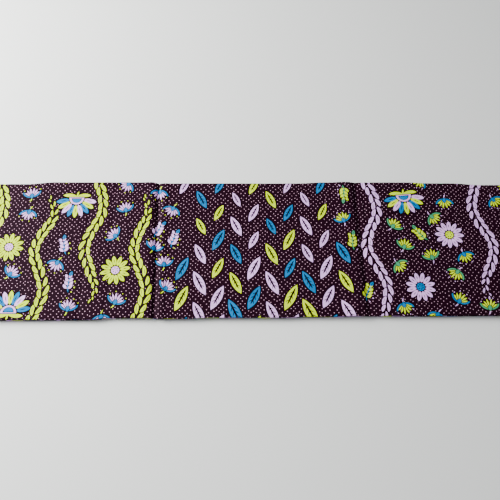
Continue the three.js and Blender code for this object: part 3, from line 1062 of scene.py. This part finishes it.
class CLOTH_OT_top_ply(bpy.types.Operator):
    """Lays the printed top ply over the stack, from its cut edge at the back round the front fold"""
    bl_idname = "cloth.top_ply"
    bl_label = "Top ply"

    def execute(self, context):
        sizes = context.scene.wax_print_sizes
        patches = design(sizes.halo / MM, sizes.seed)
        piece = add_outer_ply("top_cloth", patches, place_top, True, "top_ply")
        return {"FINISHED"}


class CLOTH_OT_folded_plies(bpy.types.Operator):
    """Stacks the hidden plies, layered at all four edges"""
    bl_idname = "cloth.folded_plies"
    bl_label = "Folded plies"

    def execute(self, context):
        sizes = context.scene.wax_print_sizes
        mesh = stack_mesh("fold_stack", sizes.cloth / MM)
        piece = add_piece("fold_stack", mesh, folded_cotton(), "folded_plies")
        return {"FINISHED"}


class CLOTH_OT_bottom_ply(bpy.types.Operator):
    """Lays the bottom ply flat under the stack, printed like the top one"""
    bl_idname = "cloth.bottom_ply"
    bl_label = "Bottom ply"

    def execute(self, context):
        sizes = context.scene.wax_print_sizes
        patches = design(sizes.halo / MM, sizes.seed)
        turned = [p._replace(outline=(0, FLAT_LENGTH) - np.asarray(p.outline)) for p in patches]
        piece = add_outer_ply("bottom_cloth", turned, place_bottom, False, "bottom_ply")
        return {"FINISHED"}


VIEW_TILT = 70  # degrees above the floor
FRAME_PIXELS = 500
FOCAL_PIXELS = 480
SENSOR_WIDTH = 36
# The places and sizes of the stage are in metres.
PIXELS_PER_METRE = 469  # across the middle of the cloth
LOOK_AT = (-0.016, -0.005, 0.011)
FLOOR_REACH = 6
FILL_STRENGTH = 0.27
LIGHTS = (
    {"name": "window", "tint": "window", "watts": 172, "size": 1.1,
     "place": (-1.8, 0.55, 0.95), "target": (-0.2, 0, 0)},
    {"name": "ceiling", "tint": "sky", "watts": 13, "size": 2.4,
     "place": (-0.2, -0.3, 2.6), "target": (0, 0, 0)},
)


def add_floor(scene):
    mesh = bpy.data.meshes.new("floor")
    signs = ((-1, -1), (1, -1), (1, 1), (-1, 1))
    mesh.from_pydata([(a * FLOOR_REACH, b * FLOOR_REACH, 0) for a, b in signs], [], [(0, 1, 2, 3)])
    mesh.materials.append(matt_floor())
    floor_object = bpy.data.objects.new("floor", mesh)
    scene.collection.objects.link(floor_object)


def add_lights(scene):
    look = scene.stage_look
    world = bpy.data.worlds.new("soft_fill")
    world.use_nodes = True
    background = world.node_tree.nodes["Background"]
    background.inputs["Color"].default_value = (*look.sky, 1)
    background.inputs["Strength"].default_value = FILL_STRENGTH
    scene.world = world
    for row in LIGHTS:
        light = bpy.data.lights.new(row["name"], "AREA")
        light.shape = "SQUARE"
        light.size = row["size"]
        light.energy = row["watts"]
        light.color = getattr(look, row["tint"])
        lamp = bpy.data.objects.new(row["name"], light)
        lamp.location = row["place"]
        aim = Vector(row["target"]) - Vector(row["place"])
        lamp.rotation_euler = aim.to_track_quat("-Z", "Y").to_euler()
        scene.collection.objects.link(lamp)


def add_camera(scene):
    lens = bpy.data.cameras.new("camera")
    lens.sensor_width = SENSOR_WIDTH
    lens.lens = SENSOR_WIDTH * FOCAL_PIXELS / FRAME_PIXELS
    camera = bpy.data.objects.new("camera", lens)
    scene.collection.objects.link(camera)
    tilt = math.radians(VIEW_TILT)
    away = Vector((0, -math.cos(tilt), math.sin(tilt))) * (FOCAL_PIXELS / PIXELS_PER_METRE)
    camera.location = Vector(LOOK_AT) + away
    camera.rotation_euler = (math.radians(90 - VIEW_TILT), 0, 0)
    scene.camera = camera


class CLOTH_OT_stage(bpy.types.Operator):
    """Sets a plain pale floor, a large soft light from the left and the camera above the front edge"""
    bl_idname = "cloth.stage"
    bl_label = "Floor, light and camera"

    def execute(self, context):
        add_floor(context.scene)
        add_lights(context.scene)
        add_camera(context.scene)
        return {"FINISHED"}


class VIEW3D_PT_wax_print(bpy.types.Panel):
    """The steps that make the folded cloth"""
    bl_idname = "VIEW3D_PT_wax_print"
    bl_label = "Folded wax print"
    bl_space_type = "VIEW_3D"
    bl_region_type = "UI"
    bl_category = "Cloth"

    def draw(self, context):
        scene = context.scene
        for group in (scene.wax_print_sizes, scene.wax_print_inks, scene.stage_look):
            box = self.layout.box()
            for name in group.__annotations__:
                box.prop(group, name)
        for operator in STEPS:
            self.layout.operator(operator.bl_idname)


STEPS = (CLOTH_OT_stage, CLOTH_OT_top_ply, CLOTH_OT_folded_plies, CLOTH_OT_bottom_ply)
GROUPS = (
    ("wax_print_sizes", WaxPrintSizes),
    ("wax_print_inks", WaxPrintInks),
    ("stage_look", StageLook),
)


def register():
    for name, group in GROUPS:
        bpy.utils.register_class(group)
        setattr(bpy.types.Scene, name, PointerProperty(type=group))
    for step in STEPS:
        bpy.utils.register_class(step)
    bpy.utils.register_class(VIEW3D_PT_wax_print)


def unregister():
    bpy.utils.unregister_class(VIEW3D_PT_wax_print)
    for step in reversed(STEPS):
        bpy.utils.unregister_class(step)
    for name, group in reversed(GROUPS):
        delattr(bpy.types.Scene, name)
        bpy.utils.unregister_class(group)


def main():
    register()
    bpy.ops.cloth.stage()
    bpy.ops.cloth.top_ply()
    bpy.ops.cloth.folded_plies()
    bpy.ops.cloth.bottom_ply()


if __name__ == "__main__":
    main()
